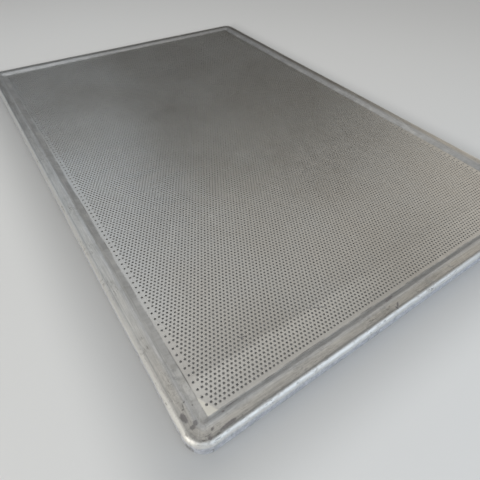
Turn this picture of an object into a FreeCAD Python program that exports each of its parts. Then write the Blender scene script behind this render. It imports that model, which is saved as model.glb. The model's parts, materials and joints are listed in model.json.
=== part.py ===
"""Flat perforated bakery tray, such as baguettes and rolls are baked on.

One pressed aluminium sheet makes the whole tray: a flat field, a sloping step all round it, a flat land,
a rounded outer bend, a skirt that turns down, and a curl at the skirt's foot that is rolled inward round
a steel wire. The wire is the second piece, bent to a closed loop with one butt joint.

Units are millimetres. +Z is up, X runs across the tray and Y along it. The origin is the middle of the
tray in the plane that its rim stands on.
"""

import FreeCAD, Part
import math
import os

Vector = FreeCAD.Vector
UP = Vector(0, 0, 1)

# Driving dimensions
SHEET_THICKNESS = 1.5

HOLE_PITCH = 3.5                # centre to centre, on a 60 degree stagger
HOLES_ACROSS = 114              # in the longer rows, which run across the tray
ROWS_ALONG = 199
EDGE_MARGIN_ACROSS = 3.3        # last hole centre to the foot of the step, on the long sides
EDGE_MARGIN_ALONG = 4.1         # the same, on the short sides

STEP_WIDTH_ACROSS = 8.5         # plan width of the sloping step, on the long sides
STEP_WIDTH_ALONG = 6.0          # the same, on the short sides
STEP_RISE = 2.8                 # the land stands this far above the field
RIM_WIDTH = 11.2                # plan width from the top of the step to the outside of the skirt
CORNER_RADIUS = 15.5            # outside corner of the skirt, in plan
BEND_RADIUS = 4.2               # outside of the bend between land and skirt
LAND_HEIGHT = 16.5              # top of the land above the plane the tray stands on

WIRE_DIAMETER = 3.5
WIRE_CLEARANCE = 0.05           # all round the wire inside the curl
WIRE_JOINT_GAP = 1.0            # between the wire's two ends, midway along one long side
CURL_WRAP_DEG = 250.0           # how far the curl turns round the wire, from the skirt's outside
FOOT_FLAT = 0.25                # how much of the curl's underside is pressed flat

# Sizes that follow from them
ROW_PITCH = HOLE_PITCH * math.sqrt(3) / 2
FIELD_HALF_X = ((HOLES_ACROSS - 1) * HOLE_PITCH) / 2 + EDGE_MARGIN_ACROSS
FIELD_HALF_Y = ((ROWS_ALONG - 1) * ROW_PITCH) / 2 + EDGE_MARGIN_ALONG
STEP_HALF_X = FIELD_HALF_X + STEP_WIDTH_ACROSS
STEP_HALF_Y = FIELD_HALF_Y + STEP_WIDTH_ALONG
OUTER_HALF_X = STEP_HALF_X + RIM_WIDTH
OUTER_HALF_Y = STEP_HALF_Y + RIM_WIDTH
FIELD_HEIGHT = LAND_HEIGHT - STEP_RISE
CURL_INSIDE = WIRE_DIAMETER / 2 + WIRE_CLEARANCE
CURL_OUTSIDE = CURL_INSIDE + SHEET_THICKNESS
CURL_HEIGHT = CURL_OUTSIDE - FOOT_FLAT
CORNER_X = OUTER_HALF_X - CORNER_RADIUS
CORNER_Y = OUTER_HALF_Y - CORNER_RADIUS


def on_circle(centre, radius, degrees):
    """A point on a circle in the section plane, where X runs outward and Z runs up."""
    turn = math.radians(degrees)
    return centre + Vector(radius * math.cos(turn), 0, radius * math.sin(turn))


def arc(centre, radius, start_deg, end_deg):
    """An arc in the section plane, through its own middle."""
    points = [on_circle(centre, radius, a) for a in (start_deg, (start_deg + end_deg) / 2, end_deg)]
    return Part.Arc(*points).toShape()


def line(start, end):
    return Part.LineSegment(start, end).toShape()


def rim_section():
    """The sheet's section from the corner's centre line outward: land, bend, skirt and curl."""
    land_end = CORNER_RADIUS - BEND_RADIUS
    bend_centre = Vector(land_end, 0, LAND_HEIGHT - BEND_RADIUS)
    bend_inside = BEND_RADIUS - SHEET_THICKNESS
    curl_centre = Vector(CORNER_RADIUS - CURL_OUTSIDE, 0, CURL_HEIGHT)
    foot_angle = math.degrees(math.asin(CURL_HEIGHT / CURL_OUTSIDE))
    foot_outer = on_circle(curl_centre, CURL_OUTSIDE, -foot_angle)
    foot_inner = on_circle(curl_centre, CURL_OUTSIDE, foot_angle - 180)
    outer_tip = on_circle(curl_centre, CURL_OUTSIDE, -CURL_WRAP_DEG)
    inner_tip = on_circle(curl_centre, CURL_INSIDE, -CURL_WRAP_DEG)
    underside = LAND_HEIGHT - SHEET_THICKNESS
    edges = [
        line(Vector(0, 0, underside), Vector(0, 0, LAND_HEIGHT)),
        line(Vector(0, 0, LAND_HEIGHT), Vector(land_end, 0, LAND_HEIGHT)),
        arc(bend_centre, BEND_RADIUS, 90, 0),
        line(on_circle(bend_centre, BEND_RADIUS, 0), on_circle(curl_centre, CURL_OUTSIDE, 0)),
        arc(curl_centre, CURL_OUTSIDE, 0, -foot_angle),
        line(foot_outer, foot_inner),
        arc(curl_centre, CURL_OUTSIDE, foot_angle - 180, -CURL_WRAP_DEG),
        line(outer_tip, inner_tip),
        arc(curl_centre, CURL_INSIDE, -CURL_WRAP_DEG, 0),
        line(on_circle(curl_centre, CURL_INSIDE, 0), on_circle(bend_centre, bend_inside, 0)),
        arc(bend_centre, bend_inside, 0, 90),
        line(Vector(land_end, 0, underside), Vector(0, 0, underside)),
    ]
    return Part.Face(Part.Wire(edges))


def corner_places():
    """Each corner's centre, and the turn that points the section along the side that ends there."""
    return [
        (Vector(CORNER_X, CORNER_Y, 0), 0),
        (Vector(-CORNER_X, CORNER_Y, 0), 90),
        (Vector(-CORNER_X, -CORNER_Y, 0), 180),
        (Vector(CORNER_X, -CORNER_Y, 0), 270),
    ]


def rim_ring():
    """The section carried round all four corners and along all four sides."""
    solids = []
    for centre, turn in corner_places():
        section = rim_section()
        section.rotate(Vector(), UP, turn)
        section.translate(centre)
        solids.append(section.revolve(centre, UP, 90))
        side_length = 2 * (CORNER_Y if turn % 180 == 0 else CORNER_X)
        along = Vector(0, -1, 0)
        run = FreeCAD.Rotation(UP, turn).multVec(along) * side_length
        solids.append(section.extrude(run))
    return solids


def land_plate():
    """The flat sheet at the land's height, inside the rim ring and round the pressed recess."""
    corner = Vector(-CORNER_X, -CORNER_Y, LAND_HEIGHT - SHEET_THICKNESS)
    return Part.makeBox(2 * CORNER_X, 2 * CORNER_Y, SHEET_THICKNESS, corner)


def recess_window():
    """The space that the recess takes out of the land and the rim."""
    corner = Vector(-STEP_HALF_X, -STEP_HALF_Y, LAND_HEIGHT - 2 * SHEET_THICKNESS)
    return Part.makeBox(2 * STEP_HALF_X, 2 * STEP_HALF_Y, 3 * SHEET_THICKNESS, corner)


def patch(corners):
    """The face through four corners: flat, or the ruled face of a step's corner square."""
    loop = corners + [corners[0]]
    outline = Part.makePolygon(loop)
    diagonal_middle = (corners[0] + corners[2]) * 0.5
    other_middle = (corners[1] + corners[3]) * 0.5
    flat = diagonal_middle.distanceToPoint(other_middle) < 1e-6
    if flat:
        return Part.Face(outline)
    return Part.makeRuledSurface(line(corners[0], corners[1]), line(corners[3], corners[2]))


def stands_high(x, y):
    """Whether a corner of the recess's patches is on the land rather than in the field."""
    return abs(x) > FIELD_HALF_X or abs(y) > FIELD_HALF_Y


def recess():
    """The field, the four slopes of the step, and the four corner squares where the slopes cross."""
    xs = [-STEP_HALF_X, -FIELD_HALF_X, FIELD_HALF_X, STEP_HALF_X]
    ys = [-STEP_HALF_Y, -FIELD_HALF_Y, FIELD_HALF_Y, STEP_HALF_Y]

    def point(x, y):
        height = LAND_HEIGHT if stands_high(x, y) else FIELD_HEIGHT
        return Vector(x, y, height)

    faces = []
    drop = Vector(0, 0, -SHEET_THICKNESS)
    for x0, x1 in zip(xs, xs[1:]):
        for y0, y1 in zip(ys, ys[1:]):
            corners = [point(x0, y0), point(x1, y0), point(x1, y1), point(x0, y1)]
            top = patch(corners)
            faces.append(top)
            faces.append(top.translated(drop))
    for x in (xs[0], xs[-1]):
        for y0, y1 in zip(ys, ys[1:]):
            edge = [point(x, y0), point(x, y1)]
            faces.append(patch([edge[0], edge[1], edge[1] + drop, edge[0] + drop]))
    for y in (ys[0], ys[-1]):
        for x0, x1 in zip(xs, xs[1:]):
            edge = [point(x0, y), point(x1, y)]
            faces.append(patch([edge[0], edge[1], edge[1] + drop, edge[0] + drop]))
    shell = Part.makeShell(faces)
    shell.sewShape()
    solid = Part.makeSolid(Part.Shell(shell.Faces))
    if solid.Volume < 0:
        solid.reverse()
    return solid


def perforated_sheet():
    """The pressed sheet as one solid."""
    ring = rim_ring()
    flat = ring[0].multiFuse(ring[1:] + [land_plate()])
    whole = flat.cut(recess_window()).fuse(recess())
    return whole.removeSplitter()


def rim_wire():
    """The wire loop inside the curl, from one side of its butt joint round to the other."""
    radius = CORNER_RADIUS - CURL_OUTSIDE
    x, y, z = CORNER_X + radius, CORNER_Y + radius, CURL_HEIGHT
    diagonal = radius * math.sqrt(0.5)
    half_gap = WIRE_JOINT_GAP / 2

    def turn_round(sx, sy, start, end):
        middle = Vector(sx * (CORNER_X + diagonal), sy * (CORNER_Y + diagonal), z)
        return Part.Arc(start, middle, end).toShape()

    path = [
        line(Vector(x, half_gap, z), Vector(x, CORNER_Y, z)),
        turn_round(1, 1, Vector(x, CORNER_Y, z), Vector(CORNER_X, y, z)),
        line(Vector(CORNER_X, y, z), Vector(-CORNER_X, y, z)),
        turn_round(-1, 1, Vector(-CORNER_X, y, z), Vector(-x, CORNER_Y, z)),
        line(Vector(-x, CORNER_Y, z), Vector(-x, -CORNER_Y, z)),
        turn_round(-1, -1, Vector(-x, -CORNER_Y, z), Vector(-CORNER_X, -y, z)),
        line(Vector(-CORNER_X, -y, z), Vector(CORNER_X, -y, z)),
        turn_round(1, -1, Vector(CORNER_X, -y, z), Vector(x, -CORNER_Y, z)),
        line(Vector(x, -CORNER_Y, z), Vector(x, -half_gap, z)),
    ]
    circle = Part.makeCircle(WIRE_DIAMETER / 2, Vector(x, half_gap, z), Vector(0, 1, 0))
    section = Part.Face(Part.Wire(circle))
    return Part.Wire(path).makePipe(section)


NODES = {
    "perforated_sheet": perforated_sheet,
    "rim_wire": rim_wire,
}

os.makedirs("parts", exist_ok=True)
for name, build in NODES.items():
    shape = build()
    assert len(shape.Solids) == 1 and shape.isValid(), name
    box = shape.BoundBox
    print(name, round(shape.Volume), "mm3", [round(v, 2) for v in (box.XLength, box.YLength, box.ZLength)])
    shape.exportStep("parts/" + name + ".step")
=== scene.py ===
"""The looks of a bakery tray: one pressed and perforated aluminium sheet, curled round a steel wire.

Everything is in metres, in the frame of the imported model: +Z up, X across the tray, Y along it, and the
origin in the middle of the plane that the rim stands on. The real sheet is one piece of metal. Here its
perforated field is built as strips that meet edge to edge, and its solid border as one frame round them.
"""

import json
import math
from collections import namedtuple

import bpy
import numpy as np
from mathutils import Matrix, Vector


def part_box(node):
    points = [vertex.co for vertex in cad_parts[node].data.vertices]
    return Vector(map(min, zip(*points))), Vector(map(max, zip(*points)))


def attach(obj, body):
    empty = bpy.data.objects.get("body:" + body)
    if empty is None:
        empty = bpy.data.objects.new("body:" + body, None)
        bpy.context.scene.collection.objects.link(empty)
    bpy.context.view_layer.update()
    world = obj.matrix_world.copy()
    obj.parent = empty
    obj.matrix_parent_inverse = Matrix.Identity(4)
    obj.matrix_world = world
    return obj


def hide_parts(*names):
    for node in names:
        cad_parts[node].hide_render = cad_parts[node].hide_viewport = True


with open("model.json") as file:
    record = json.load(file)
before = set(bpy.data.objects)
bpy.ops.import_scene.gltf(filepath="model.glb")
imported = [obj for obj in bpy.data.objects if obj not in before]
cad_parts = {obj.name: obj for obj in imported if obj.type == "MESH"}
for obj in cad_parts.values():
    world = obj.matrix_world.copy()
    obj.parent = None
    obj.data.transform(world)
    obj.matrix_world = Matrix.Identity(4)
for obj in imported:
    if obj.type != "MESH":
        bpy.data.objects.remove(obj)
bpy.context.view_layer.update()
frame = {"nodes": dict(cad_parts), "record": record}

MM = 0.001

# ------------------------------
# Sizes. The outer ones come from the frame. The others are the sheet metal's own, as the CAD part has them.
# ------------------------------
sheet_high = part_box("perforated_sheet")[1]
wire_low, wire_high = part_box("rim_wire")
mounts = {m["name"]: m for m in frame["record"]["mounts"]}

OUTER_X = sheet_high.x
OUTER_Y = sheet_high.y
LAND_Z = sheet_high.z
FIELD_Z = mounts["baking_surface"]["pos_m"][2]
STEP_RISE = LAND_Z - FIELD_Z
THICKNESS = 1.5 * MM

PITCH = 3.5 * MM
ROW_PITCH = PITCH * math.sqrt(3) / 2
HOLE_RADIUS = 1.0 * MM
HOLES_ACROSS = 114              # in the longer rows
SHORT_ROW_HOLES = 111           # in the rows between them
ROWS_ALONG = 199

STEP_WIDTH_X = 8.5 * MM
STEP_WIDTH_Y = 6.0 * MM
RIM_WIDTH = 11.2 * MM           # from the step's top to the outside of the skirt
CORNER_RADIUS = 15.5 * MM
BEND_RADIUS = 4.2 * MM
WIRE_CLEARANCE = 0.05 * MM
CURL_WRAP_DEG = 250.0
CURL_INSIDE = (wire_high.z - wire_low.z) / 2 + WIRE_CLEARANCE
CURL_OUTSIDE = CURL_INSIDE + THICKNESS
CURL_Z = (wire_high.z + wire_low.z) / 2

STEP_X = OUTER_X - RIM_WIDTH
STEP_Y = OUTER_Y - RIM_WIDTH
FIELD_X = STEP_X - STEP_WIDTH_X
FIELD_Y = STEP_Y - STEP_WIDTH_Y
CORNER_X = OUTER_X - CORNER_RADIUS
CORNER_Y = OUTER_Y - CORNER_RADIUS
PERFORATED_X = HOLES_ACROSS / 2 * PITCH
PERFORATED_Y = ROWS_ALONG / 2 * ROW_PITCH
LAND_WIDTH = RIM_WIDTH - BEND_RADIUS
LAND_END = CORNER_RADIUS - BEND_RADIUS      # where the bend starts, from a corner's centre
STEP_REACH = CORNER_RADIUS - RIM_WIDTH      # where the step's top is, from the same centre
BEND_FOOT_Z = LAND_Z - BEND_RADIUS

FOOT_ROUNDING = 0.8 * MM        # how far the step takes to turn up out of the field
TOP_ROUNDING = 2.4 * MM         # how far it takes to level out on to the land
CROWN = 0.3 * MM                # how far the land has sunk where it meets the step

# The used sheet's warp
FIELD_SAG = 0.8 * MM            # how far the middle of a used tray hangs below its edges
WAVE_HEIGHT = 0.06 * MM         # height of each gentle wave in the sheet
RIM_STIFFNESS = 0.6             # the share of those waves that the rim's stiffness takes away
DENT_DEPTH = 0.10 * MM          # height of each small wave along the rim's bend
DENT_LIFT = 0.6                 # the share of a dent that also moves the bend up or down
WARP_FROM_Z = CURL_Z + CURL_OUTSIDE
WARP_FULL_Z = FIELD_Z - THICKNESS

# How fine the meshes are
STRIPS = 8                      # the perforated field is built in this many lengthwise strips
HOLE_SIDES = 12
CORNER_STEPS = 8                # mesh steps in half a rim corner
LAND_SHARES = (0.25, 0.5, 0.75)
BEND_POINTS = 8
SKIRT_SHARES = (0.2, 0.4, 0.6, 0.8)
CURL_POINTS = 18
THIRDS = (0.33, 0.67)
SHARP_ANGLE_DEG = 40.0
TINY = 1e-7

# The maps that textures can be painted on
UV_LAYER = "OFBake"
STRIP_BANDS = 4                 # a strip's top and underside, each folded in two
STRIP_GAP = 0.004               # clear space at the ends of a strip's bands
STRIP_BAND_GAP = 4 * STRIP_GAP  # the same between the bands
FOLD_Y = ROW_PITCH / 2          # between two rows next to the middle: where a strip's map is folded
BORDER_BANDS = 8                # the border's four outsides and four insides
BORDER_BAND_GAP = 0.03
BORDER_MAP_HALF = OUTER_Y + 6 * MM
BORDER_DEPTH = max(STEP_X - PERFORATED_X, STEP_Y - PERFORATED_Y) + 1 * MM
BORDER_SPAN = BORDER_DEPTH + 45 * MM
BORDER_WALL = 0.8 * MM          # how wide a band the sheet's cut edges get


def smooth(value, start, end):
    """0 before start, 1 after end, and a smooth rise between them."""
    t = np.clip((value - start) / (end - start), 0, 1)
    return t * t * (3 - 2 * t)


# ------------------------------
# The used sheet's gentle warp
# ------------------------------
def make_waves(seed, count, shortest, longest):
    """Plane waves with seeded directions and phases: rows of (x rate, y rate, phase)."""
    rng = np.random.default_rng(seed)
    lengths = rng.uniform(shortest, longest, count)
    turns = rng.uniform(0, math.tau, count)
    phases = rng.uniform(0, math.tau, count)
    rates = math.tau / lengths
    return np.stack([rates * np.cos(turns), rates * np.sin(turns), phases], axis=1)


SHEET_WAVES = make_waves(seed=11, count=7, shortest=110 * MM, longest=330 * MM)
RIM_WAVES = make_waves(seed=23, count=6, shortest=14 * MM, longest=60 * MM)


def wave_sum(waves, x, y):
    """The height of all the waves together, each one unit high."""
    return sum(np.sin(kx * x + ky * y + phase) for kx, ky, phase in waves)


def warped(points):
    """The points moved as a used sheet has moved: a slight sag and waves, and small dents along the bend.

    The curl and the skirt's foot stay put, so the rim still stands flat and holds its wire.
    """
    x, y, z = points[:, 0], points[:, 1], points[:, 2]
    loose = smooth(z, WARP_FROM_Z, WARP_FULL_Z)
    bowl = np.clip(1 - (x / FIELD_X) ** 2, 0, 1) * np.clip(1 - (y / FIELD_Y) ** 2, 0, 1)
    edge = np.clip(np.maximum(np.abs(x) - STEP_X, np.abs(y) - STEP_Y), 0, RIM_WIDTH) / RIM_WIDTH
    dents = DENT_DEPTH * wave_sum(RIM_WAVES, x, y) * smooth(edge, 0.5, 1.0)
    waves = WAVE_HEIGHT * wave_sum(SHEET_WAVES, x, y) * (1 - RIM_STIFFNESS * edge)
    moved = points.copy()
    moved[:, 2] += loose * (waves - FIELD_SAG * bowl + DENT_LIFT * dents)
    inward = loose * dents
    moved[:, 0] -= inward * np.sign(x) * (np.abs(x) > STEP_X)
    moved[:, 1] -= inward * np.sign(y) * (np.abs(y) > STEP_Y)
    return moved


# ------------------------------
# Meshes
# ------------------------------
def directed_edges(faces):
    """Every face's edges in its own winding, from a list of index arrays, one array per face size."""
    edges = [np.stack([f, np.roll(f, -1, axis=1)], axis=2).reshape(-1, 2) for f in faces]
    return np.concatenate(edges)


def compacted(faces):
    """The numbers of the points that the faces use, and the faces renumbered to those points alone."""
    used, renumbered = np.unique(np.concatenate([f.ravel() for f in faces]), return_inverse=True)
    bounds = np.cumsum([f.size for f in faces])[:-1]
    pieces = np.split(renumbered, bounds)
    return used, [piece.reshape(-1, f.shape[1]) for piece, f in zip(pieces, faces)]


def closed_sheet(outside, inside, faces):
    """Sheet metal from its outside points, its inside points and the outside's faces.

    The inside gets the same faces turned over, and every free edge, holes included, gets a wall.
    Returns the points, the faces and, for each list of faces, which part of the sheet it belongs to.
    """
    count = len(outside)
    edges = directed_edges(faces)
    forward = edges[:, 0] * count + edges[:, 1]
    backward = edges[:, 1] * count + edges[:, 0]
    free = edges[~np.isin(forward, backward)]
    walls = np.stack([free[:, 1], free[:, 0], free[:, 0] + count, free[:, 1] + count], axis=1)
    turned = [f[:, ::-1] + count for f in faces]
    parts = ["outside"] * len(faces) + ["inside"] * len(faces) + ["wall"]
    return np.concatenate([outside, inside]), faces + turned + [walls], parts


def mesh_object(name, points, faces, uv_lists):
    """A mesh object from numpy arrays. uv_lists holds each face list's (faces, corners, 2) map places."""
    mesh = bpy.data.meshes.new(name)
    corner_ids = np.concatenate([f.ravel() for f in faces]).astype(np.int32)
    sizes = np.concatenate([np.full(len(f), f.shape[1], np.int32) for f in faces])
    starts = np.concatenate([[0], np.cumsum(sizes)[:-1]]).astype(np.int32)
    mesh.vertices.add(len(points))
    mesh.vertices.foreach_set("co", points.astype(np.float32).ravel())
    mesh.loops.add(len(corner_ids))
    mesh.loops.foreach_set("vertex_index", corner_ids)
    mesh.polygons.add(len(sizes))
    mesh.polygons.foreach_set("loop_start", starts)
    mesh.update(calc_edges=True)
    mesh.validate()
    places = np.concatenate([u.reshape(-1, 2) for u in uv_lists]).astype(np.float32)
    layer = mesh.uv_layers.new(name=UV_LAYER)
    layer.data.foreach_set("uv", places.ravel())
    mesh.polygons.foreach_set("use_smooth", np.ones(len(sizes), bool))
    mesh.set_sharp_from_angle(angle=math.radians(SHARP_ANGLE_DEG))
    piece = bpy.data.objects.new(name, mesh)
    bpy.context.scene.collection.objects.link(piece)
    return piece


# ------------------------------
# The perforated field. Its points lie on a lattice of half pitches across and row edges along, with more
# points round each hole. A cell is the rectangle round one hole.
# ------------------------------
LATTICE_COLUMNS = 2 * (HOLES_ACROSS + 1)
LATTICE_LINES = ROWS_ALONG + 1
AROUND_CELL = [(1, 1), (1, 0), (1, -1), (0, -1), (0, 0), (0, 1)]   # lattice steps along and across


def zipped(outer_angles, inner_angles):
    """Triangles between two rings of points given by angle, outer points numbered first."""
    outer_count, inner_count = len(outer_angles), len(inner_angles)
    triangles = []
    i = j = 0
    while i < outer_count or j < inner_count:
        next_outer = outer_angles[(i + 1) % outer_count] + math.tau * ((i + 1) // outer_count)
        next_inner = inner_angles[(j + 1) % inner_count] + math.tau * ((j + 1) // inner_count)
        here_outer = i % outer_count
        here_inner = outer_count + j % inner_count
        if j >= inner_count or (i < outer_count and next_outer <= next_inner):
            triangles.append((here_outer, (i + 1) % outer_count, here_inner))
            i += 1
        else:
            triangles.append((here_outer, outer_count + (j + 1) % inner_count, here_inner))
            j += 1
    return np.array(triangles)


def hole_turns():
    """The angles of the points round a hole."""
    return math.tau * (np.arange(HOLE_SIDES) + 1) / HOLE_SIDES


def cell_triangles():
    """The triangles of one cell: a rectangle with six edge points, round a many-sided hole."""
    outer = []
    for up, side in AROUND_CELL:
        turn = math.atan2((up - 0.5) * ROW_PITCH, side * PITCH / 2)
        outer.append(turn if turn > 0 else turn + math.tau)
    return zipped(outer, hole_turns())


def row_is_long(row):
    """The rows alternate between long and short, and the tray starts and ends with a short one."""
    return row % 2 == 1


def strip_edge(cut, row):
    """Where a cut between strips runs in a row, in half pitches from the middle: it dodges the holes."""
    middle_cell = round(HOLES_ACROSS * cut / STRIPS)
    place = 2 * middle_cell - HOLES_ACROSS
    at_side = cut in (0, STRIPS)
    return place if row_is_long(row) or at_side else place - 1


def strip_cells(strip, row):
    """The middles of the holes in one strip's row, and of its plain cells, in half pitches."""
    first, last = strip_edge(strip, row), strip_edge(strip + 1, row)
    if row_is_long(row):
        return list(range(first + 1, last, 2)), []
    outermost = SHORT_ROW_HOLES - 1
    middles = range(first + first % 2, last + 1, 2)
    middles = [k for k in middles if first < k < last]
    holes = [k for k in middles if abs(k) <= outermost]
    plain = [k for k in middles if abs(k) > outermost]
    return holes, plain


def strip_layout(strip):
    """A strip's cells as (row, half pitches): the ones with a hole, the plain ones, and the end halves."""
    holes, plain, ends = [], [], []
    for row in range(ROWS_ALONG):
        with_hole, without = strip_cells(strip, row)
        holes += [(row, k) for k in with_hole]
        plain += [(row, k) for k in without]
        if row_is_long(row):
            continue
        if strip == 0:
            ends.append((row, -HOLES_ACROSS))
        if strip == STRIPS - 1:
            ends.append((row, HOLES_ACROSS - 1))
    return np.array(holes), plain, ends


def strip_faces(left, holes, plain, ends):
    """The faces of a strip's top. The lattice's points are numbered first, and then the holes' points."""
    def lattice(line, k):
        return line * LATTICE_COLUMNS + (k - left)

    rows, ks = holes[:, 0], holes[:, 1]
    outer = np.stack([lattice(rows + up, ks + side) for up, side in AROUND_CELL], axis=1)
    inner = np.arange(len(holes) * HOLE_SIDES).reshape(-1, HOLE_SIDES)
    rings = np.concatenate([outer, LATTICE_LINES * LATTICE_COLUMNS + inner], axis=1)
    triangles = rings[:, cell_triangles()].reshape(-1, 3)
    hexagons = np.array([[lattice(r + up, k + side) for up, side in AROUND_CELL] for r, k in plain])
    quads = np.array([[lattice(r, k), lattice(r, k + 1), lattice(r + 1, k + 1), lattice(r + 1, k)]
                      for r, k in ends])
    return [f for f in (triangles, hexagons, quads) if len(f)]


def strip_places(left, holes):
    """Where a strip's numbered points are, and the middle of each one's hole (or its own place)."""
    lines, across = np.divmod(np.arange(LATTICE_LINES * LATTICE_COLUMNS), LATTICE_COLUMNS)
    lattice = np.column_stack([(across + left) * PITCH / 2, (lines - ROWS_ALONG / 2) * ROW_PITCH])
    rows, ks = holes[:, 0], holes[:, 1]
    centres = np.column_stack([ks * PITCH / 2, (rows + 0.5 - ROWS_ALONG / 2) * ROW_PITCH])
    ring = HOLE_RADIUS * np.column_stack([np.cos(hole_turns()), np.sin(hole_turns())])
    round_holes = (centres[:, None] + ring).reshape(-1, 2)
    hubs = np.concatenate([lattice, np.repeat(centres, HOLE_SIDES, axis=0)])
    return np.concatenate([lattice, round_holes]), hubs


def strip_uv(points, hubs, faces, part):
    """Map places of a strip. It is folded in two along its length, with the top above the underside.

    A hole's wall goes in the hole's own disc, which nothing else on the map uses.
    """
    count = len(hubs)
    corners = faces % count
    place = points[corners, :2]
    if part == "wall":
        low = faces >= count
        place = np.where(low[..., None], (place + hubs[corners]) / 2, place)
    mid_y = points[faces, 1].mean(axis=1)
    far_half = (mid_y > FOLD_Y).astype(float)[:, None]
    low_x, high_x = points[:, 0].min(), points[:, 0].max()
    from_end = place[..., 1] - FOLD_Y * far_half + PERFORATED_Y * (1 - far_half)
    along = from_end / (PERFORATED_Y + FOLD_Y)
    across = (place[..., 0] - low_x) / (high_x - low_x)
    band_number = far_half + (STRIP_BANDS // 2 if part == "inside" else 0)
    u = STRIP_GAP + along * (1 - 2 * STRIP_GAP)
    v = (band_number + STRIP_BAND_GAP + across * (1 - 2 * STRIP_BAND_GAP)) / STRIP_BANDS
    return np.stack([u, v], axis=2)


def perforated_strip(strip):
    """One lengthwise strip of the perforated field, as closed sheet metal with every hole cut through."""
    left = min(strip_edge(strip, 0), strip_edge(strip, 1))
    holes, plain, ends = strip_layout(strip)
    used, faces = compacted(strip_faces(left, holes, plain, ends))
    places, hubs = strip_places(left, holes)
    top = np.column_stack([places[used], np.full(len(used), FIELD_Z)])
    points, all_faces, parts = closed_sheet(top, top - [0, 0, THICKNESS], faces)
    uvs = [strip_uv(points, hubs[used], f, part) for f, part in zip(all_faces, parts)]
    return mesh_object(f"perforated_field_{strip + 1}", warped(points), all_faces, uvs)


# ------------------------------
# The solid border: margin, step, land, bend, skirt and curl. Inside the step's top it is a grid of mesh
# lines. Outward of it, a section is swept through stations round the rim, and the two share their points.
# ------------------------------
# One station of the sweep: the centre its section is measured from, the outward direction, how far out the
# step's top is, the number of the side it belongs to, and its place along that side
Station = namedtuple("Station", "centre outward reach side place")
OUTWARD = [(1, 0), (0, 1), (-1, 0), (0, -1)]    # the sides, counter-clockwise from the right


def step_height(distance, width):
    """The step's height as a share of its rise, at a distance outward from its foot."""
    slope = 1 / (width - FOOT_ROUNDING / 2 - TOP_ROUNDING / 2)
    d = np.clip(distance, 0, width)
    foot = slope * d * d / (2 * FOOT_ROUNDING)
    straight = slope * (d - FOOT_ROUNDING / 2)
    top = 1 - slope * (width - d) ** 2 / (2 * TOP_ROUNDING)
    return np.where(d < FOOT_ROUNDING, foot, np.where(d < width - TOP_ROUNDING, straight, top))


def border_height(x, y):
    """The top of the sheet inside the step's outer edge. At a corner the two slopes cross."""
    across = step_height(np.abs(x) - FIELD_X, STEP_WIDTH_X)
    along = step_height(np.abs(y) - FIELD_Y, STEP_WIDTH_Y)
    past_step = np.maximum(np.abs(x) - STEP_X, np.abs(y) - STEP_Y)
    crown = CROWN * np.clip(1 - np.clip(past_step, 0, None) / LAND_WIDTH, 0, 1) ** 2
    return FIELD_Z + (STEP_RISE - crown) * (across + along - across * along)


def corner_lines(corner, step):
    """Mesh lines from a corner's centre line out to the step's top, spaced to meet the rim's corner rays."""
    reach = step - corner
    return [corner + reach * math.tan(math.pi / 4 * k / CORNER_STEPS) for k in range(CORNER_STEPS + 1)]


def border_lines(perforated_lines, perforated, field, corner, step):
    """Mesh lines across the whole tray in one direction."""
    slope_start = field + FOOT_ROUNDING
    foot = [field + FOOT_ROUNDING * share for share in (0, *THIRDS, 1)]
    slope = [slope_start + (corner - slope_start) * share for share in THIRDS]
    outward = [(perforated + field) / 2] + foot + slope + corner_lines(corner, step)
    return np.array([-v for v in reversed(outward)] + list(perforated_lines) + outward)


def border_grid():
    """The grid's lines in both directions, and its points."""
    half_columns = np.arange(-HOLES_ACROSS, HOLES_ACROSS + 1) * PITCH / 2
    row_lines = (np.arange(LATTICE_LINES) - ROWS_ALONG / 2) * ROW_PITCH
    xs = border_lines(half_columns, PERFORATED_X, FIELD_X, CORNER_X, STEP_X)
    ys = border_lines(row_lines, PERFORATED_Y, FIELD_Y, CORNER_Y, STEP_Y)
    grid_x, grid_y = np.meshgrid(xs, ys, indexing="ij")
    points = np.stack([grid_x, grid_y, border_height(grid_x, grid_y)], axis=2).reshape(-1, 3)
    return xs, ys, points


def grid_faces(xs, ys, numbers):
    """The grid's faces outside the perforated field."""
    quads = np.stack([numbers[:-1, :-1], numbers[1:, :-1], numbers[1:, 1:], numbers[:-1, 1:]], axis=2)
    mid_x = (xs[1:] + xs[:-1]) / 2
    mid_y = (ys[1:] + ys[:-1]) / 2
    on_border = (np.abs(mid_x)[:, None] > PERFORATED_X) | (np.abs(mid_y)[None, :] > PERFORATED_Y)
    return quads[on_border]


def rim_profile():
    """The section outward of the land: outside points and inside points, as (distance, height) rows."""
    outside, inside = [], []
    for share in np.linspace(0, 1, BEND_POINTS):
        turn = math.pi / 2 * (1 - share)
        for points, radius in ((outside, BEND_RADIUS), (inside, BEND_RADIUS - THICKNESS)):
            points.append((LAND_END + radius * math.cos(turn), BEND_FOOT_Z + radius * math.sin(turn)))
    for share in SKIRT_SHARES:
        height = BEND_FOOT_Z + (CURL_Z - BEND_FOOT_Z) * share
        outside.append((CORNER_RADIUS, height))
        inside.append((CORNER_RADIUS - THICKNESS, height))
    for share in np.linspace(0, 1, CURL_POINTS):
        turn = -math.radians(CURL_WRAP_DEG) * share
        for points, radius in ((outside, CURL_OUTSIDE), (inside, CURL_INSIDE)):
            distance = CORNER_RADIUS - CURL_OUTSIDE + radius * math.cos(turn)
            points.append((distance, max(CURL_Z + radius * math.sin(turn), 0)))
    return np.array(outside), np.array(inside)


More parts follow.
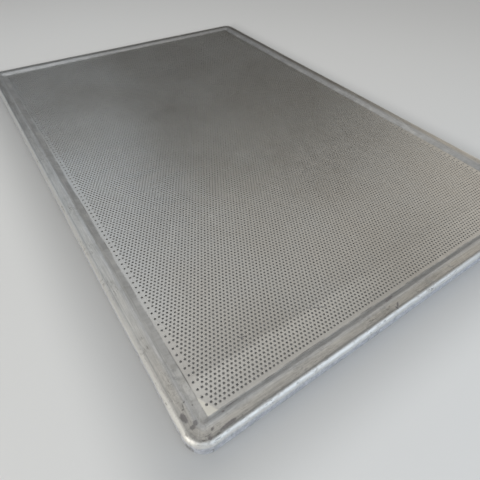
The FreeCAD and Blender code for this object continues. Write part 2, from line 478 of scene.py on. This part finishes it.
def side_stations(number, lines):
    """The stations along one straight side, at the mesh lines that cross it."""
    outward = OUTWARD[number]
    forward = OUTWARD[(number + 1) % 4]
    stations = []
    ordered = lines if sum(forward) > 0 else lines[::-1]
    for line in ordered:
        x = outward[0] * CORNER_X + abs(forward[0]) * line
        y = outward[1] * CORNER_Y + abs(forward[1]) * line
        place = x * forward[0] + y * forward[1]
        stations.append(Station((x, y), outward, STEP_REACH, number, place))
    return stations


def corner_stations(number):
    """The stations round the corner that ends a side. The second half of them belong to the next side."""
    outward, forward = OUTWARD[number], OUTWARD[(number + 1) % 4]
    centre = ((outward[0] + forward[0]) * CORNER_X, (outward[1] + forward[1]) * CORNER_Y)
    half_length, next_half_length = (CORNER_Y, CORNER_X) if number % 2 == 0 else (CORNER_X, CORNER_Y)
    stations = []
    for k in range(1, 2 * CORNER_STEPS):
        turn = math.radians(90 * k / (2 * CORNER_STEPS))
        world_turn = math.radians(90 * number) + turn
        reach = STEP_REACH / max(math.cos(turn), math.sin(turn))
        if k <= CORNER_STEPS:
            side = number
            place = half_length + CORNER_RADIUS * turn
        else:
            side = (number + 1) % 4
            place = CORNER_RADIUS * (turn - math.pi / 2) - next_half_length
        direction_out = (math.cos(world_turn), math.sin(world_turn))
        stations.append(Station(centre, direction_out, reach, side, place))
    return stations


def rim_stations(xs, ys):
    """Stations round the rim, counter-clockwise from the right-hand side's near end."""
    inner_x = [x for x in xs if abs(x) < CORNER_X + TINY]
    inner_y = [y for y in ys if abs(y) < CORNER_Y + TINY]
    stations = []
    for number in range(4):
        stations += side_stations(number, inner_x if number % 2 else inner_y)
        stations += corner_stations(number)
    return stations


def station_points(station, profile, surface_z):
    """One surface's points at a station, from the land outward. The land has sunk towards the step."""
    land = station.reach + (LAND_END - station.reach) * np.array(LAND_SHARES)
    sunk = np.minimum(CROWN * (1 - (land - STEP_REACH) / LAND_WIDTH) ** 2, CROWN)
    distance = np.concatenate([land, profile[:, 0]])
    heights = np.concatenate([surface_z - sunk, profile[:, 1]])
    return np.column_stack([np.array(station.centre) + np.outer(distance, station.outward), heights])


def sweep_faces(xs, ys, numbers, stations, first_number, rows):
    """The faces between neighbouring stations, which start from the grid's points at the step's top."""
    step_tops = []
    for station in stations:
        x, y = np.array(station.centre) + np.array(station.outward) * station.reach
        step_tops.append(numbers[np.argmin(np.abs(xs - x)), np.argmin(np.abs(ys - y))])
    swept = first_number + np.arange(len(stations) * rows).reshape(len(stations), rows)
    columns = np.column_stack([step_tops, swept])
    following = np.roll(columns, -1, axis=0)
    faces = np.stack([columns[:, :-1], columns[:, 1:], following[:, 1:], following[:, :-1]], axis=2)
    return faces.reshape(-1, 4)


def border_places(grid, stations, profile):
    """Each outside point's side number, place along the side and distance over the sheet from the field."""
    x, y = grid[:, 0], grid[:, 1]
    beyond_x, beyond_y = np.abs(x) - STEP_X, np.abs(y) - STEP_Y
    on_long_side = beyond_x > beyond_y
    side = np.where(on_long_side, np.where(x > 0, 0, 2), np.where(y > 0, 1, 3))
    along = np.where(on_long_side, y * np.sign(x), -x * np.sign(y))
    depth = BORDER_DEPTH + np.where(on_long_side, beyond_x, beyond_y)
    rows = [np.column_stack([side, along, depth])]
    over_profile = np.concatenate([[0], np.cumsum(np.hypot(*np.diff(profile, axis=0).T))])
    for station in stations:
        land = LAND_END - station.reach
        depth = BORDER_DEPTH + np.concatenate([land * np.array(LAND_SHARES), land + over_profile])
        side = np.full(len(depth), station.side)
        along = np.full(len(depth), station.place)
        rows.append(np.column_stack([side, along, depth]))
    return np.concatenate(rows)


def border_uv(places, faces, part):
    """Map places of the border: one band for each side's outside, and then one for each side's inside.

    A face across a corner's diagonal goes whole in one side's band.
    """
    count = len(places)
    corner = places[faces % count]
    side = np.max(corner[..., 0], axis=1)
    first_and_last = (side == 3) & (np.min(corner[..., 0], axis=1) == 0)
    side = np.where(first_and_last, 0, side)[:, None]
    along = corner[..., 1]
    own = corner[..., 0] == side
    reference = np.max(np.where(own, np.abs(along), 0), axis=1)[:, None]
    sign = np.sign(np.sum(np.where(own, along, 0), axis=1))[:, None]
    along = np.where(own, along, sign * reference)
    depth = corner[..., 2]
    if part == "wall":
        depth = depth + np.where(faces >= count, BORDER_WALL, 0)
    u = 0.5 + along / (2 * BORDER_MAP_HALF)
    band_number = side + (BORDER_BANDS // 2 if part == "inside" else 0)
    v = (band_number + BORDER_BAND_GAP + (1 - 2 * BORDER_BAND_GAP) * depth / BORDER_SPAN) / BORDER_BANDS
    return np.stack([u, np.broadcast_to(v, u.shape)], axis=2)


def solid_border():
    """The sheet's border as closed sheet metal, from the edge of the perforation to the curl's tip."""
    xs, ys, grid = border_grid()
    numbers = np.arange(len(grid)).reshape(len(xs), len(ys))
    stations = rim_stations(xs, ys)
    profile_out, profile_in = rim_profile()
    outside = [station_points(s, profile_out, LAND_Z) for s in stations]
    inside = [station_points(s, profile_in, LAND_Z - THICKNESS) for s in stations]
    swept_faces = sweep_faces(xs, ys, numbers, stations, len(grid), len(outside[0]))
    used, faces = compacted([np.concatenate([grid_faces(xs, ys, numbers), swept_faces])])
    top = np.concatenate([grid, *outside])
    under = np.concatenate([grid - [0, 0, THICKNESS], *inside])
    points, all_faces, parts = closed_sheet(top[used], under[used], faces)
    places = border_places(grid, stations, profile_out)[used]
    uvs = [border_uv(places, f, part) for f, part in zip(all_faces, parts)]
    return mesh_object("pressed_border", warped(points), all_faces, uvs)


# ------------------------------
# Materials
# ------------------------------
class Nodes:
    """Short calls for building the node tree of a material or of the world."""

    def __init__(self, owner):
        owner.use_nodes = True
        self.owner = owner
        self.tree = owner.node_tree
        self.tree.nodes.clear()

    def add(self, kind, **settings):
        node = self.tree.nodes.new(kind)
        for key, value in settings.items():
            setattr(node, key, value)
        return node

    def put(self, socket, value):
        if isinstance(value, bpy.types.NodeSocket):
            self.tree.links.new(value, socket)
        else:
            socket.default_value = value

    def math(self, operation, a, b=0.0, clamp=False):
        node = self.add("ShaderNodeMath", operation=operation, use_clamp=clamp)
        self.put(node.inputs[0], a)
        self.put(node.inputs[1], b)
        return node.outputs[0]

    def times(self, a, b):
        return self.math("MULTIPLY", a, b)

    def plus(self, a, b):
        return self.math("ADD", a, b)

    def minus(self, a, b):
        return self.math("SUBTRACT", a, b)

    def most(self, a, b):
        return self.math("MAXIMUM", a, b)

    def size_of(self, a):
        """a without its sign."""
        return self.math("ABSOLUTE", a)

    def measure(self, operation, a, b=(0, 0, 0)):
        """One number from one or two vectors, such as their distance."""
        node = self.add("ShaderNodeVectorMath", operation=operation)
        self.put(node.inputs[0], a)
        self.put(node.inputs[1], b)
        return node.outputs["Value"]

    def split(self, vector):
        node = self.add("ShaderNodeSeparateXYZ")
        self.put(node.inputs[0], vector)
        return node.outputs

    def join(self, x, y, z):
        node = self.add("ShaderNodeCombineXYZ")
        for socket, value in zip(node.inputs, (x, y, z)):
            self.put(socket, value)
        return node.outputs[0]

    def placed(self, vector, **settings):
        """The vector in the coordinates of a shape with a Location, Rotation and Scale of its own."""
        node = self.add("ShaderNodeMapping", vector_type="TEXTURE")
        self.put(node.inputs["Vector"], vector)
        for name, value in settings.items():
            self.put(node.inputs[name], value)
        return node.outputs[0]

    def step(self, value, start, end, low=0.0, high=1.0):
        """A smooth rise from low at start to high at end."""
        node = self.add("ShaderNodeMapRange", interpolation_type="SMOOTHSTEP")
        for socket, number in zip(node.inputs, (value, start, end, low, high)):
            self.put(socket, number)
        return node.outputs[0]

    def fade(self, value, start, end):
        """A smooth fall from 1 at start to 0 at end."""
        return self.step(value, start, end, 1.0, 0.0)

    def noise(self, vector, size, detail, roughness, seed):
        """Noise with features about size metres across, from 0 to 1."""
        node = self.add("ShaderNodeTexNoise", noise_dimensions="4D")
        self.put(node.inputs["Vector"], vector)
        self.put(node.inputs["W"], seed)
        self.put(node.inputs["Scale"], 1 / size)
        self.put(node.inputs["Detail"], detail)
        self.put(node.inputs["Roughness"], roughness)
        return node.outputs[0]

    def mix(self, share, a, b, blend_type="MIX"):
        """Colours a and b mixed by share."""
        node = self.add("ShaderNodeMix", data_type="RGBA", blend_type=blend_type)
        self.put(node.inputs["Factor"], share)
        for socket, value in ((node.inputs[6], a), (node.inputs[7], b)):
            if not isinstance(value, bpy.types.NodeSocket):
                value = (*value, 1.0)
            self.put(socket, value)
        return node.outputs[2]

    def object_place(self):
        """The place on the piece, which is also its place in the tray's frame."""
        return self.add("ShaderNodeTexCoord").outputs["Object"]

    def camera_ray(self):
        """1 for what the camera sees directly, and 0 for all other light."""
        return self.add("ShaderNodeLightPath").outputs["Is Camera Ray"]

    def show(self, shader, output_kind="ShaderNodeOutputMaterial"):
        """The shader as the tree's result. Returns the material or the world."""
        self.put(self.add(output_kind).inputs["Surface"], shader.outputs[0])
        return self.owner

    def metal(self, colour, metallic, roughness, height, relief):
        """A metal surface, with a fine relief of the given depth."""
        shader = self.add("ShaderNodeBsdfPrincipled")
        self.put(shader.inputs["Base Color"], colour)
        self.put(shader.inputs["Metallic"], metallic)
        self.put(shader.inputs["Roughness"], roughness)
        bump = self.add("ShaderNodeBump")
        self.put(bump.inputs["Distance"], relief)
        self.put(bump.inputs["Height"], height)
        self.put(shader.inputs["Normal"], bump.outputs[0])
        return self.show(shader)


# Noise on the sheet: the place it is read at, size, detail, roughness and seed
SHEET_NOISE = {
    "cloud": ("sheet", 95 * MM, 4.0, 0.55, 1.0),
    "mottle": ("sheet", 14 * MM, 5.0, 0.65, 2.0),
    "fine": ("sheet", 1.1 * MM, 3.0, 0.6, 3.0),
    "grain": ("grain", 1.0 * MM, 3.0, 0.6, 4.0),
    "streak": ("long_streaks", 1.0 * MM, 5.0, 0.7, 5.0),
    "ragged": ("sheet", 1.4 * MM, 4.0, 0.7, 6.0),
    "patchy": ("sheet", 26 * MM, 3.0, 0.6, 7.0),
    "spots": ("sheet", 3.6 * MM, 5.0, 0.75, 8.0),
    "flecks": ("sheet", 1.0 * MM, 2.0, 0.5, 9.0),
    "skirt": ("sheet", 2.6 * MM, 5.0, 0.7, 14.0),
    "worn": ("short_streaks", 2.2 * MM, 6.0, 0.72, 15.0),
    "scuffs": ("scuffs", 0.9 * MM, 3.0, 0.6, 16.0),
}

# The bare metal's two tones, and the tones over them in order: where they lie, how much they cover there,
# and their colour
CLOUD_TONES = ((0.500, 0.488, 0.470), (0.545, 0.548, 0.545))
METAL_TONES = [
    ("mottled", 0.50, (0.590, 0.578, 0.552)),
    ("grained", 0.14, (0.36, 0.36, 0.36)),
    # painted highlight: a lighter tone on a strip of the field beside the near step
    ("near_highlight", 0.50, (0.80, 0.79, 0.765)),
    # painted shade: a darker, bluer tone on the step's slope
    ("step", 0.70, (0.48, 0.485, 0.495)),
    ("warm", 1.00, (0.525, 0.50, 0.46)),
    ("dark_streaks", 0.60, (0.33, 0.33, 0.33)),
    ("bright_streaks", 0.45, (0.68, 0.67, 0.64)),
    ("worn", 0.42, (0.27, 0.26, 0.245)),
    # painted highlight: a lighter tone over the whole rim bend
    ("bend", 0.65, (0.76, 0.75, 0.72)),
]
# painted reflection: the skirt's bluish dark and light tones stand in for the cool window light it reflects;
# the flecks are the metal's own
SKIRT_REFLECTION_TONES = ((0.42, 0.43, 0.475), (0.70, 0.71, 0.75), (0.80, 0.80, 0.79))    # dark, light, flecks

# Lines, dirt and marks over all of that, in the same form. The line where the land meets the bend is painted
# shade.
DIRT_TONES = [
    # painted shade: a dark line where the land turns down into the bend
    ("land_edge_shade", 0.55, (0.24, 0.245, 0.25)),
    ("crease", 0.75, (0.13, 0.12, 0.11)),
    ("grime", 0.48, (0.20, 0.185, 0.165)),
    ("scuffs", 0.78, (0.17, 0.16, 0.15)),
    ("specks", 0.65, (0.14, 0.13, 0.12)),
    ("scratches", 0.22, (0.78, 0.78, 0.77)),
    ("burnt", 0.72, (0.125, 0.110, 0.110)),
    ("cream", 0.85, (0.90, 0.88, 0.81)),
    ("underneath", 0.55, (0.30, 0.285, 0.265)),
    ("hole_wall", 1.00, (0.52, 0.505, 0.48)),
]

# Old marks near one corner of the tray, in millimetres: x, y, half length, half width, turn in degrees
BURNT_MARKS = [
    (-214.7, -297.4, 3.9, 1.9, 95),
    (-212.6, -305.2, 1.9, 1.6, 0),
    (-210.0, -303.9, 1.7, 1.9, 0),
    (-206.7, -316.8, 1.5, 1.3, 0),
    (-202.8, -312.9, 1.3, 0.9, 30),
    (-192.5, -316.1, 7.0, 1.3, 3),
    (-184.0, -305.6, 5.8, 0.45, 1),
    (-150.5, -304.9, 5.0, 0.4, -1),
    (-191.1, -307.1, 1.2, 0.8, 0),
    (-209.7, -288.2, 0.9, 0.6, 20),
    (-205.9, -292.6, 0.8, 0.6, 70),
    (-212.7, -292.3, 0.7, 0.6, 0),
    (-30.0, -307.0, 6.0, 1.3, 8),
    (-29.3, -315.2, 2.5, 0.9, 40),
    (-32.2, -316.9, 1.6, 0.8, 100),
    (-82.5, -281.0, 7.5, 0.45, -27),
    (-89.6, -277.2, 1.2, 0.7, 0),
    (-150.0, -268.5, 3.4, 0.5, -20),
]
MARK_HALF_HEIGHT = 12           # also in millimetres: enough for a mark to run on over step and bend


def rim_places(n, x, y):
    """Node values for a place on the border: depth past the step's top, depth past its foot, and along."""
    far_x, far_y = n.size_of(x), n.size_of(y)
    beyond_x = n.most(n.minus(far_x, CORNER_X), 0.0)
    beyond_y = n.most(n.minus(far_y, CORNER_Y), 0.0)
    rim_depth = n.minus(n.measure("LENGTH", n.join(beyond_x, beyond_y, 0.0)), STEP_REACH)
    foot_x, foot_y = n.minus(far_x, FIELD_X), n.minus(far_y, FIELD_Y)
    foot_depth = n.most(foot_x, foot_y)
    on_long_side = n.math("GREATER_THAN", foot_x, foot_y)
    along = n.plus(x, n.times(on_long_side, n.minus(y, x)))
    return rim_depth, foot_depth, along


def sheet_noise(n, place, rim_depth, along):
    """All the sheet's noises. Most are read at the place itself, and some at a place that is stretched."""
    x, y, z = n.split(place)
    read_at = {
        "sheet": place,
        "grain": n.join(x, n.times(y, 0.025), z),
        "long_streaks": n.join(rim_depth, n.times(along, 0.035), 0.0),
        "short_streaks": n.join(rim_depth, n.times(along, 0.35), 0.0),
        "scuffs": n.join(n.times(along, 0.16), rim_depth, 0.0),
    }
    return {name: n.noise(read_at[where], *settings) for name, (where, *settings) in SHEET_NOISE.items()}


def sheet_areas(n, place, rim_depth, foot_depth):
    """The sheet's areas: each is 1 inside and 0 outside, with a soft edge."""
    facing_up = n.split(n.add("ShaderNodeNewGeometry").outputs["Normal"])[2]
    height = n.split(place)[2]
    corner_distance = n.measure("DISTANCE", place, (-CORNER_X, -CORNER_Y, LAND_Z))
    border = n.step(foot_depth, -0.4 * MM, 0.4 * MM)
    step = n.times(border, n.fade(rim_depth, -1.0 * MM, 3.0 * MM))
    bend = n.step(rim_depth, LAND_WIDTH, LAND_WIDTH + 2.2 * MM)
    return {
        "border": border,
        "step": step,
        "land": n.times(border, n.minus(1.0, step)),
        "bend": bend,
        "skirt": n.times(n.fade(height, BEND_FOOT_Z - 1.0 * MM, BEND_FOOT_Z + 1.6 * MM), bend),
        "underneath": n.fade(facing_up, -0.5, -0.1),
        "hole_wall": n.times(n.fade(n.size_of(facing_up), 0.3, 0.6), n.minus(1.0, border)),
        "near_corner": n.fade(corner_distance, 15 * MM, 85 * MM),
    }


def band(n, value, centre, half_width):
    """1 at centre, falling smoothly to 0 at half_width to either side."""
    return n.fade(n.size_of(n.minus(value, centre)), 0.0, half_width)


def blot(n, place, ragged, x, y, half_long, half_wide, turn_deg):
    """A ragged-edged oval mark on the sheet, turned from the X direction."""
    local = n.placed(place, Location=(x * MM, y * MM, LAND_Z), Rotation=(0, 0, math.radians(turn_deg)),
                     Scale=(half_long * MM, half_wide * MM, MARK_HALF_HEIGHT * MM))
    return n.fade(n.plus(n.measure("LENGTH", local), ragged), 0.7, 1.15)


def burnt_marks(n, place, ragged):
    """How much of a burnt mark there is at a place, from 0 to 1."""
    strongest = 0.0
    for mark in BURNT_MARKS:
        strongest = n.most(strongest, blot(n, place, ragged, *mark))
    return strongest


def scratches(n, place, turn_deg, seed):
    """Long faint scratches that run nearly straight, as the level lines of a stretched noise."""
    stretched = n.placed(place, Rotation=(0, 0, math.radians(turn_deg)), Scale=(14.0, 1.0, 1.0))
    line = band(n, n.noise(stretched, 22 * MM, 1.0, 0.4, seed), 0.5, 0.008)
    return n.times(line, n.step(n.noise(place, 45 * MM, 2.0, 0.5, seed + 1), 0.52, 0.62))


def near_highlight_strip(n, place, mottle):
    """A painted highlight: a strip of the field beside the near step that is painted brighter, and fades
    towards the right.
    """
    x, y, _ = n.split(place)
    depth = n.plus(n.plus(y, FIELD_Y), n.times(mottle, 14 * MM))
    return n.times(n.fade(depth, 30 * MM, 37 * MM), n.step(x, -130 * MM, 10 * MM, 1.0, 0.25))


def cream_patch(n, place, ragged):
    """A pale patch of residue that fills the field's corner, with a ragged upper edge."""
    x, y, _ = n.split(place)
    from_left = n.plus(x, FIELD_X)
    from_near = n.plus(y, FIELD_Y)
    inside = n.times(n.step(from_left, -0.2 * MM, 0.3 * MM), n.step(from_near, -0.2 * MM, 0.3 * MM))
    slope = n.plus(n.plus(n.times(from_left, 1.9), from_near), n.times(ragged, 2.2 * MM))
    return n.times(inside, n.fade(slope, 13.5 * MM, 16.5 * MM))


def sheet_wear(n, place, noise, area, rim_depth, foot_depth):
    """Grain, wear, dirt and marks, each from 0 to 1, with a painted highlight beside the near step and a
    painted shade line at the land's edge among them.
    """
    patchy, mottle, streak = noise["patchy"], noise["mottle"], noise["streak"]
    near_corner, border = area["near_corner"], area["border"]
    ragged = n.times(n.minus(noise["ragged"], 0.5), 1.3)

    def where_dirty(start, end, corner_share):
        return n.math("ADD", n.step(patchy, start, end), n.times(near_corner, corner_share), clamp=True)

    grime = n.times(n.step(noise["spots"], 0.50, 0.66), where_dirty(0.44, 0.64, 0.5))
    scuffs = n.times(n.step(noise["scuffs"], 0.58, 0.66), where_dirty(0.46, 0.58, 0.6))
    flecks = n.plus(noise["flecks"], n.times(near_corner, 0.045))
    worn = n.times(n.step(noise["worn"], 0.45, 0.66), n.step(patchy, 0.30, 0.65, 0.35, 1.0))
    # painted shade along the land's outer edge
    land_edge_shade = band(n, rim_depth, LAND_WIDTH - 0.1 * MM, 0.9 * MM)
    return {
        "mottled": n.step(mottle, 0.35, 0.75),
        "grained": n.step(noise["grain"], 0.3, 0.7),
        # painted highlight beside the near step
        "near_highlight": near_highlight_strip(n, place, mottle),
        "warm": n.times(area["land"], n.plus(0.25, n.times(near_corner, 0.30))),
        "dark_streaks": n.times(border, n.step(streak, 0.42, 0.66)),
        "bright_streaks": n.times(border, n.step(streak, 0.50, 0.34)),
        "worn": n.times(worn, border),
        "land_edge_shade": n.times(land_edge_shade, n.step(mottle, 0.25, 0.7, 0.35, 1.0)),
        "crease": n.times(band(n, foot_depth, 0.0, 0.7 * MM), n.step(patchy, 0.42, 0.62)),
        "grime": n.times(grime, border),
        "scuffs": n.times(scuffs, area["land"]),
        "specks": n.times(n.step(flecks, 0.70, 0.76), border),
        "scratches": n.most(scratches(n, place, 57, 10.0), scratches(n, place, 118, 12.0)),
        "burnt": burnt_marks(n, place, ragged),
        "cream": cream_patch(n, place, ragged),
    }


def toned(n, colour, tones, masks):
    """The colour with each tone laid over it in turn."""
    for where, cover, tone in tones:
        colour = n.mix(n.times(masks[where], cover), colour, tone)
    return colour


def sheet_colour(n, noise, masks):
    """Clouded metal, its tones (painted highlights on the bend and beside the near step, painted shade on
    the step among them), the skirt's bluish tones of painted reflection, and the dirt, marks and a painted
    shade line over all of them.
    """
    dark, light, flecks = SKIRT_REFLECTION_TONES
    metal = n.mix(n.step(noise["cloud"], 0.3, 0.7), *CLOUD_TONES)
    metal = toned(n, metal, METAL_TONES, masks)
    skirt = n.mix(n.step(noise["skirt"], 0.38, 0.66), dark, light)
    skirt = n.mix(n.step(noise["fine"], 0.66, 0.74), skirt, flecks)
    return toned(n, n.mix(masks["skirt"], metal, skirt), DIRT_TONES, masks)


def sheet_surface(n, noise, masks):
    """How metallic and how rough the sheet is, and its fine relief. Dirt and oxide are dull."""
    dirt = n.most(n.most(masks["grime"], masks["crease"]), n.most(masks["burnt"], masks["specks"]))
    hidden = n.most(masks["hole_wall"], masks["underneath"])
    rough = n.step(noise["cloud"], 0.3, 0.7, 0.385, 0.42)
    rough = n.plus(rough, n.step(noise["mottle"], 0.3, 0.8, -0.02, 0.03))
    rough = n.plus(rough, n.times(masks["bend"], 0.05))
    rough = n.plus(rough, n.times(dirt, 0.18))
    rough = n.math("ADD", rough, n.times(hidden, 0.12), clamp=True)
    metallic = n.minus(0.93, n.times(dirt, 0.5))
    metallic = n.minus(metallic, n.most(n.times(masks["step"], 0.34), n.times(masks["bend"], 0.38)))
    metallic = n.math("SUBTRACT", metallic, n.times(masks["hole_wall"], 0.5), clamp=True)
    height = n.plus(n.times(noise["grain"], 0.25), n.times(noise["fine"], 0.35))
    height = n.plus(height, n.times(n.times(noise["streak"], masks["border"]), 0.6))
    height = n.plus(height, n.times(dirt, -0.7))
    return metallic, rough, height


def baked_aluminium():
    """Bare mill aluminium, dulled and stained by years of baking."""
    n = Nodes(bpy.data.materials.new("baked_aluminium"))
    place = n.object_place()
    x, y, _ = n.split(place)
    rim_depth, foot_depth, along = rim_places(n, x, y)
    noise = sheet_noise(n, place, rim_depth, along)
    area = sheet_areas(n, place, rim_depth, foot_depth)
    masks = area | sheet_wear(n, place, noise, area, rim_depth, foot_depth)
    metallic, rough, height = sheet_surface(n, noise, masks)
    return n.metal(sheet_colour(n, noise, masks), metallic, rough, height, 0.035 * MM)


def galvanised_wire():
    """Dull zinc on steel wire, with faint spangle and rust where it has worn."""
    n = Nodes(bpy.data.materials.new("galvanised_wire"))
    place = n.object_place()
    cloud = n.noise(place, 6 * MM, 4.0, 0.6, 3.0)
    grain = n.noise(place, 0.6 * MM, 2.0, 0.5, 5.0)
    rust = n.step(n.noise(place, 11 * MM, 5.0, 0.7, 6.0), 0.60, 0.72)
    colour = n.mix(n.step(cloud, 0.35, 0.65), (0.30, 0.30, 0.29), (0.46, 0.46, 0.45))
    colour = n.mix(n.times(rust, 0.7), colour, (0.17, 0.085, 0.045))
    metallic = n.minus(0.9, n.times(rust, 0.7))
    rough = n.plus(n.step(cloud, 0.3, 0.7, 0.42, 0.6), n.times(rust, 0.25))
    return n.metal(colour, metallic, rough, grain, 0.05 * MM)


# ------------------------------
# Stage
# ------------------------------
FLOOR_HALF = 6.0
FLOOR_DROP = 0.5 * MM           # the floor lies this far below the rim, so that the two never coincide
FLOOR_GLOW = 0.27               # how strongly the floor glows, for the camera only
UNDER_TRAY_SHADOW_GLOW = 0.09               # the same under the tray, seen through the holes: weaker there, a painted shadow
SHADOW_GLOW_RISE = 60 * MM             # how far outside the tray the glow takes to reach its full strength: the width of a painted shadow round the tray
BACKDROP = (0.46, 0.46, 0.455)  # what the camera sees past the floor

SKY_OVERHEAD = (0.10, 0.098, 0.094)
SKY_HORIZON = (0.030, 0.029, 0.027)
SKY_GLOWS = [                   # turn and height in degrees, half width, and strength in red, green, blue
    (50, 30, 30, (0.17, 0.15, 0.115)),
    (82, 12, 32, (1.22, 1.13, 0.99)),
    (-25, 14, 30, (0.35, 0.38, 0.44)),
    (185, 30, 60, (0.18, 0.195, 0.215)),
    (265, 35, 50, (0.26, 0.26, 0.26)),
]
DARK_FLAG = (28, 8, 44)         # turn, height and half width of the studio's dark side
DARK_FLAG_COVER = 0.9

AREA_LIGHTS = [                 # name, place, target, size, power in watts, colour
    ("key_light", (0.20, 0.10, 0.55), (-0.06, -0.16, 0), (0.5, 0.5), 0.46, (1.0, 0.97, 0.90)),
    ("far_panel", (-0.20, 0.55, 0.55), (-0.15, -0.1, 0), (0.6, 0.4), 0.72, (0.87, 0.94, 1.0)),
    ("top_panel", (-0.25, 0.15, 0.80), (-0.15, -0.2, 0), (0.5, 0.5), 0.84, (1.0, 0.985, 0.95)),
    ("right_panel", (0.62, -0.06, 0.50), (0.0, -0.2, 0), (0.4, 0.5), 0.15, (1.0, 0.95, 0.86)),
    ("near_window", (0.08, -0.80, 0.36), (0.0, -0.25, 0), (1.1, 0.5), 3.3, (0.76, 0.87, 1.0)),
    ("side_light", (-0.95, -0.36, 0.34), (-0.15, -0.18, 0), (0.4, 0.8), 4.2, (1.0, 0.96, 0.88)),
]

SENSOR_MM = 36.0
LENS_MM = 28.76
EYE = (-238.2 * MM, -386.9 * MM, FIELD_Z + 260.4 * MM)
LOOK = (0.400, 0.564, -0.723)
LOOK_UP = (0.394, 0.606, 0.691)
FOCUS_DISTANCE = 0.36
APERTURE = 14.0


def pale_paper():
    """Matt paper with a glow that only the camera sees, so that the floor is pale. The glow is weaker under
    the tray and rises over a band round it: a painted shadow.
    """
    n = Nodes(bpy.data.materials.new("pale_paper"))
    seen = n.camera_ray()
    x, y, _ = n.split(n.object_place())
    past_edge = n.most(n.minus(n.size_of(x), OUTER_X), n.minus(n.size_of(y), OUTER_Y))
    # painted shadow: the glow is dim under the tray and rises to full strength beyond its edge
    glow = n.step(past_edge, 0.0, SHADOW_GLOW_RISE, UNDER_TRAY_SHADOW_GLOW, FLOOR_GLOW)
    shader = n.add("ShaderNodeBsdfPrincipled")
    n.put(shader.inputs["Base Color"], n.mix(seen, (0.64, 0.64, 0.63), (0.42, 0.42, 0.415)))
    n.put(shader.inputs["Roughness"], 0.9)
    n.put(shader.inputs["Emission Color"], (1.0, 1.0, 0.985, 1.0))
    n.put(shader.inputs["Emission Strength"], n.times(seen, glow))
    return n.show(shader)


def pale_floor():
    """A large flat floor under the tray."""
    mesh = bpy.data.meshes.new("floor")
    corners = [(-FLOOR_HALF, -FLOOR_HALF, 0), (FLOOR_HALF, -FLOOR_HALF, 0),
               (FLOOR_HALF, FLOOR_HALF, 0), (-FLOOR_HALF, FLOOR_HALF, 0)]
    mesh.from_pydata(corners, [], [(0, 1, 2, 3)])
    mesh.materials.append(pale_paper())
    floor = bpy.data.objects.new("floor", mesh)
    floor.location.z = -FLOOR_DROP
    bpy.context.scene.collection.objects.link(floor)


def area_light(name, place, target, size, power, colour):
    """A rectangular light that faces its target. The camera doesn't see it."""
    data = bpy.data.lights.new(name, "AREA")
    data.shape = "RECTANGLE"
    data.size, data.size_y = size
    data.energy = power
    data.color = colour
    light = bpy.data.objects.new(name, data)
    light.location = place
    light.rotation_euler = (Vector(target) - Vector(place)).to_track_quat("-Z", "Y").to_euler()
    light.visible_camera = False
    bpy.context.scene.collection.objects.link(light)


def direction(turn_deg, height_deg):
    """A direction by compass turn from +Y towards +X, and height above the floor."""
    turn, height = math.radians(turn_deg), math.radians(height_deg)
    return (math.sin(turn) * math.cos(height), math.cos(turn) * math.cos(height), math.sin(height))


def sky_spot(n, ray, turn_deg, height_deg, half_width_deg):
    """1 in the middle of a round part of the sky, falling smoothly to 0 at its edge."""
    toward = n.measure("DOT_PRODUCT", ray, direction(turn_deg, height_deg))
    return n.step(toward, math.cos(math.radians(half_width_deg)), 1.0)


def studio_sky():
    """A dim studio surround with a few broad soft glows, a dark side, and an even backdrop."""
    world = bpy.data.worlds.new("studio")
    bpy.context.scene.world = world
    n = Nodes(world)
    ray = n.add("ShaderNodeTexCoord").outputs["Generated"]
    colour = n.mix(n.step(n.split(ray)[2], 0.18, 0.80), SKY_HORIZON, SKY_OVERHEAD)
    for *spot, strength in SKY_GLOWS:
        colour = n.mix(sky_spot(n, ray, *spot), colour, strength, "ADD")
    dark_side = n.times(sky_spot(n, ray, *DARK_FLAG), DARK_FLAG_COVER)
    colour = n.mix(dark_side, colour, SKY_HORIZON)
    colour = n.mix(n.camera_ray(), colour, BACKDROP)
    background = n.add("ShaderNodeBackground")
    n.put(background.inputs["Color"], colour)
    n.show(background, "ShaderNodeOutputWorld")


def camera():
    """The camera, low over the tray's near corner and looking along it."""
    data = bpy.data.cameras.new("camera")
    data.sensor_width = SENSOR_MM
    data.lens = LENS_MM
    data.clip_start = 0.01
    data.dof.use_dof = True
    data.dof.focus_distance = FOCUS_DISTANCE
    data.dof.aperture_fstop = APERTURE
    forward = Vector(LOOK).normalized()
    right = forward.cross(Vector(LOOK_UP)).normalized()
    up = right.cross(forward)
    place = Matrix((right, up, -forward)).transposed().to_4x4()
    place.translation = Vector(EYE)
    view = bpy.data.objects.new("camera", data)
    view.matrix_world = place
    bpy.context.scene.collection.objects.link(view)
    bpy.context.scene.camera = view


# ------------------------------
# Assembly
# ------------------------------
aluminium = baked_aluminium()
sheet_pieces = [perforated_strip(strip) for strip in range(STRIPS)] + [solid_border()]
for piece in sheet_pieces:
    piece.data.materials.append(aluminium)
    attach(piece, "root")
    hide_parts("perforated_sheet")

wire = frame["nodes"]["rim_wire"]
wire.data.materials.clear()
wire.data.materials.append(galvanised_wire())

pale_floor()
studio_sky()
for light in AREA_LIGHTS:
    area_light(*light)
camera()
bpy.context.scene.view_settings.view_transform = "Standard"
